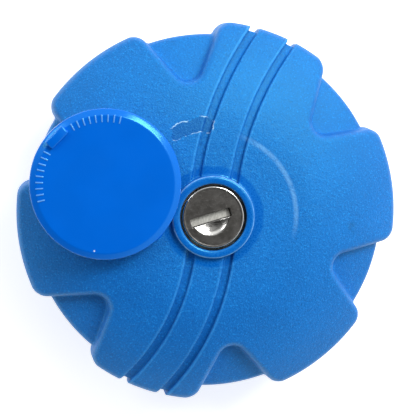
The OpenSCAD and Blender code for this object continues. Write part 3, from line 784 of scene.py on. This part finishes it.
def make_wave_spring():
    """A flat ring of spring steel bent into four waves; on the real cap it flattens as the seal rises, but this
    mesh keeps its shape.
    """
    lo, hi = box_mm("wave_spring")
    r_out = (hi[0] - lo[0]) / 2
    width, t, soft = 2.5, 0.7, 0.1
    r_in, half = r_out - width, t / 2
    steps, waves = 240, 4
    mid, swing = (lo[2] + hi[2]) / 2, (hi[2] - lo[2] - t) / 2
    section = [(r_in + soft, -half), (r_out - soft, -half), (r_out, soft - half), (r_out, half - soft),
               (r_out - soft, half), (r_in + soft, half), (r_in, half - soft), (r_in, soft - half)]
    points, faces = [], []
    n = len(section)
    for i in range(steps):
        a = 2 * math.pi * i / steps
        z = mid + swing * math.cos(waves * a)
        points += [(r * math.cos(a), r * math.sin(a), z + dz) for r, dz in section]
        k = (i + 1) % steps
        faces += [(i * n + j, k * n + j, k * n + (j + 1) % n, i * n + (j + 1) % n) for j in range(n)]
    obj = mesh_object("seal_spring", np.array(points), np.array(faces))
    obj.data.set_sharp_from_angle(angle=math.radians(35))
    finish_piece(obj, "wave_spring", "insert", "spring_steel")
    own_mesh(obj)
    return obj


make_shell()
make_lock_face()
make_cover()
make_wave_spring()


# ---------------------------------------------------------------- carried-over CAD nodes

SLOTS = {s["node"]: s["material_slot"] for s in frame["record"]["subparts"]}
REPLACED = {"grip_shell", "plug_face", "dust_cover", "wave_spring"}
for node, obj in frame["nodes"].items():
    if node in REPLACED:
        continue
    for slot in obj.material_slots:
        slot.material = MATERIALS[SLOTS[node]]


# ---------------------------------------------------------------- studio

def make_floor():
    """Plain white ground that glows a little, so that only soft shade shows on it."""
    bpy.ops.mesh.primitive_plane_add(size=6, location=(0, 0, 0))
    floor = bpy.context.object
    floor.name = "floor"
    m = Nodes("floor_white", Roughness=0.9, Specular_IOR_Level=0.1,
              Emission_Color=(1, 1, 1, 1), Emission_Strength=0.62)
    m.set("Base Color", m.mix(m.noise(400, 1, 0.5), (0.86, 0.86, 0.87), (0.88, 0.88, 0.88)))
    floor.data.materials.append(m.material)


# Light from all round, as products of factors: direction, where its cosine lies, and the levels there
WORLD_LEVELS = (
    ((0.62, 0.66, 0.42), (-0.1, 0.95), (0.8, 1.0)),
    ((-0.3, -0.3, 0.9), (0.5, 0.93), (1.0, 0.05)),
)


def make_world():
    """Soft surroundings: brighter towards the far right, dim overhead and a little to the near left."""
    world = bpy.data.worlds.new("studio")
    bpy.context.scene.world = world
    world.use_nodes = True
    tree = world.node_tree
    background = tree.nodes["Background"]
    background.inputs["Color"].default_value = (0.98, 0.99, 1.0, 1)
    place = tree.nodes.new("ShaderNodeTexCoord").outputs["Generated"]
    strength = tree.nodes.new("ShaderNodeMath")
    strength.operation = "MULTIPLY"
    for socket, (direction, between, levels) in zip(strength.inputs, WORLD_LEVELS):
        cosine = tree.nodes.new("ShaderNodeVectorMath")
        cosine.operation = "DOT_PRODUCT"
        cosine.inputs[1].default_value = Vector(direction).normalized()
        tree.links.new(place, cosine.inputs[0])
        band = tree.nodes.new("ShaderNodeMapRange")
        band.interpolation_type = "SMOOTHSTEP"
        for key, number in zip(("From Min", "From Max", "To Min", "To Max"), (*between, *levels)):
            band.inputs[key].default_value = number
        tree.links.new(cosine.outputs["Value"], band.inputs["Value"])
        tree.links.new(band.outputs[0], socket)
    tree.links.new(strength.outputs[0], background.inputs["Strength"])


def area_light(name, place, size, watts):
    """A square light at place, in metres, aimed at the cap."""
    data = bpy.data.lights.new(name, "AREA")
    data.shape = "SQUARE"
    data.size = size
    data.energy = watts
    obj = link(bpy.data.objects.new(name, data))
    obj.location = place
    obj.rotation_euler = (Vector((0, 0, 0.02)) - Vector(place)).to_track_quat("-Z", "Y").to_euler()
    return obj


def make_camera():
    """Looks down along the cap's axis from a little to the far left."""
    lean = Vector((-0.1084, 0.0944))
    towards = Vector((lean.x, lean.y, math.sqrt(1 - lean.length_squared)))
    target = Vector((0.2145, 0.8409, 20.0)) * MM
    distance = 380 * MM
    data = bpy.data.cameras.new("camera")
    data.sensor_width = 36
    data.lens = 138.4096
    data.clip_start = 0.01
    camera = link(bpy.data.objects.new("camera", data))
    right = (-towards).cross(Vector((0, 1, 0))).normalized()
    up = right.cross(-towards)
    roll = 0.0064
    x = right * math.cos(roll) + up * math.sin(roll)
    y = up * math.cos(roll) - right * math.sin(roll)
    rotation = Matrix((x, y, towards)).transposed().to_4x4()
    camera.matrix_world = Matrix.Translation(target + towards * distance) @ rotation
    bpy.context.scene.camera = camera


make_floor()
make_world()
area_light("key", (0.34, 0.42, 0.62), 0.32, 4.8)
area_light("fill", (-0.433, 0.364, 0.566), 0.2, 0.8)
make_camera()
bpy.context.scene.view_settings.view_transform = "Standard"
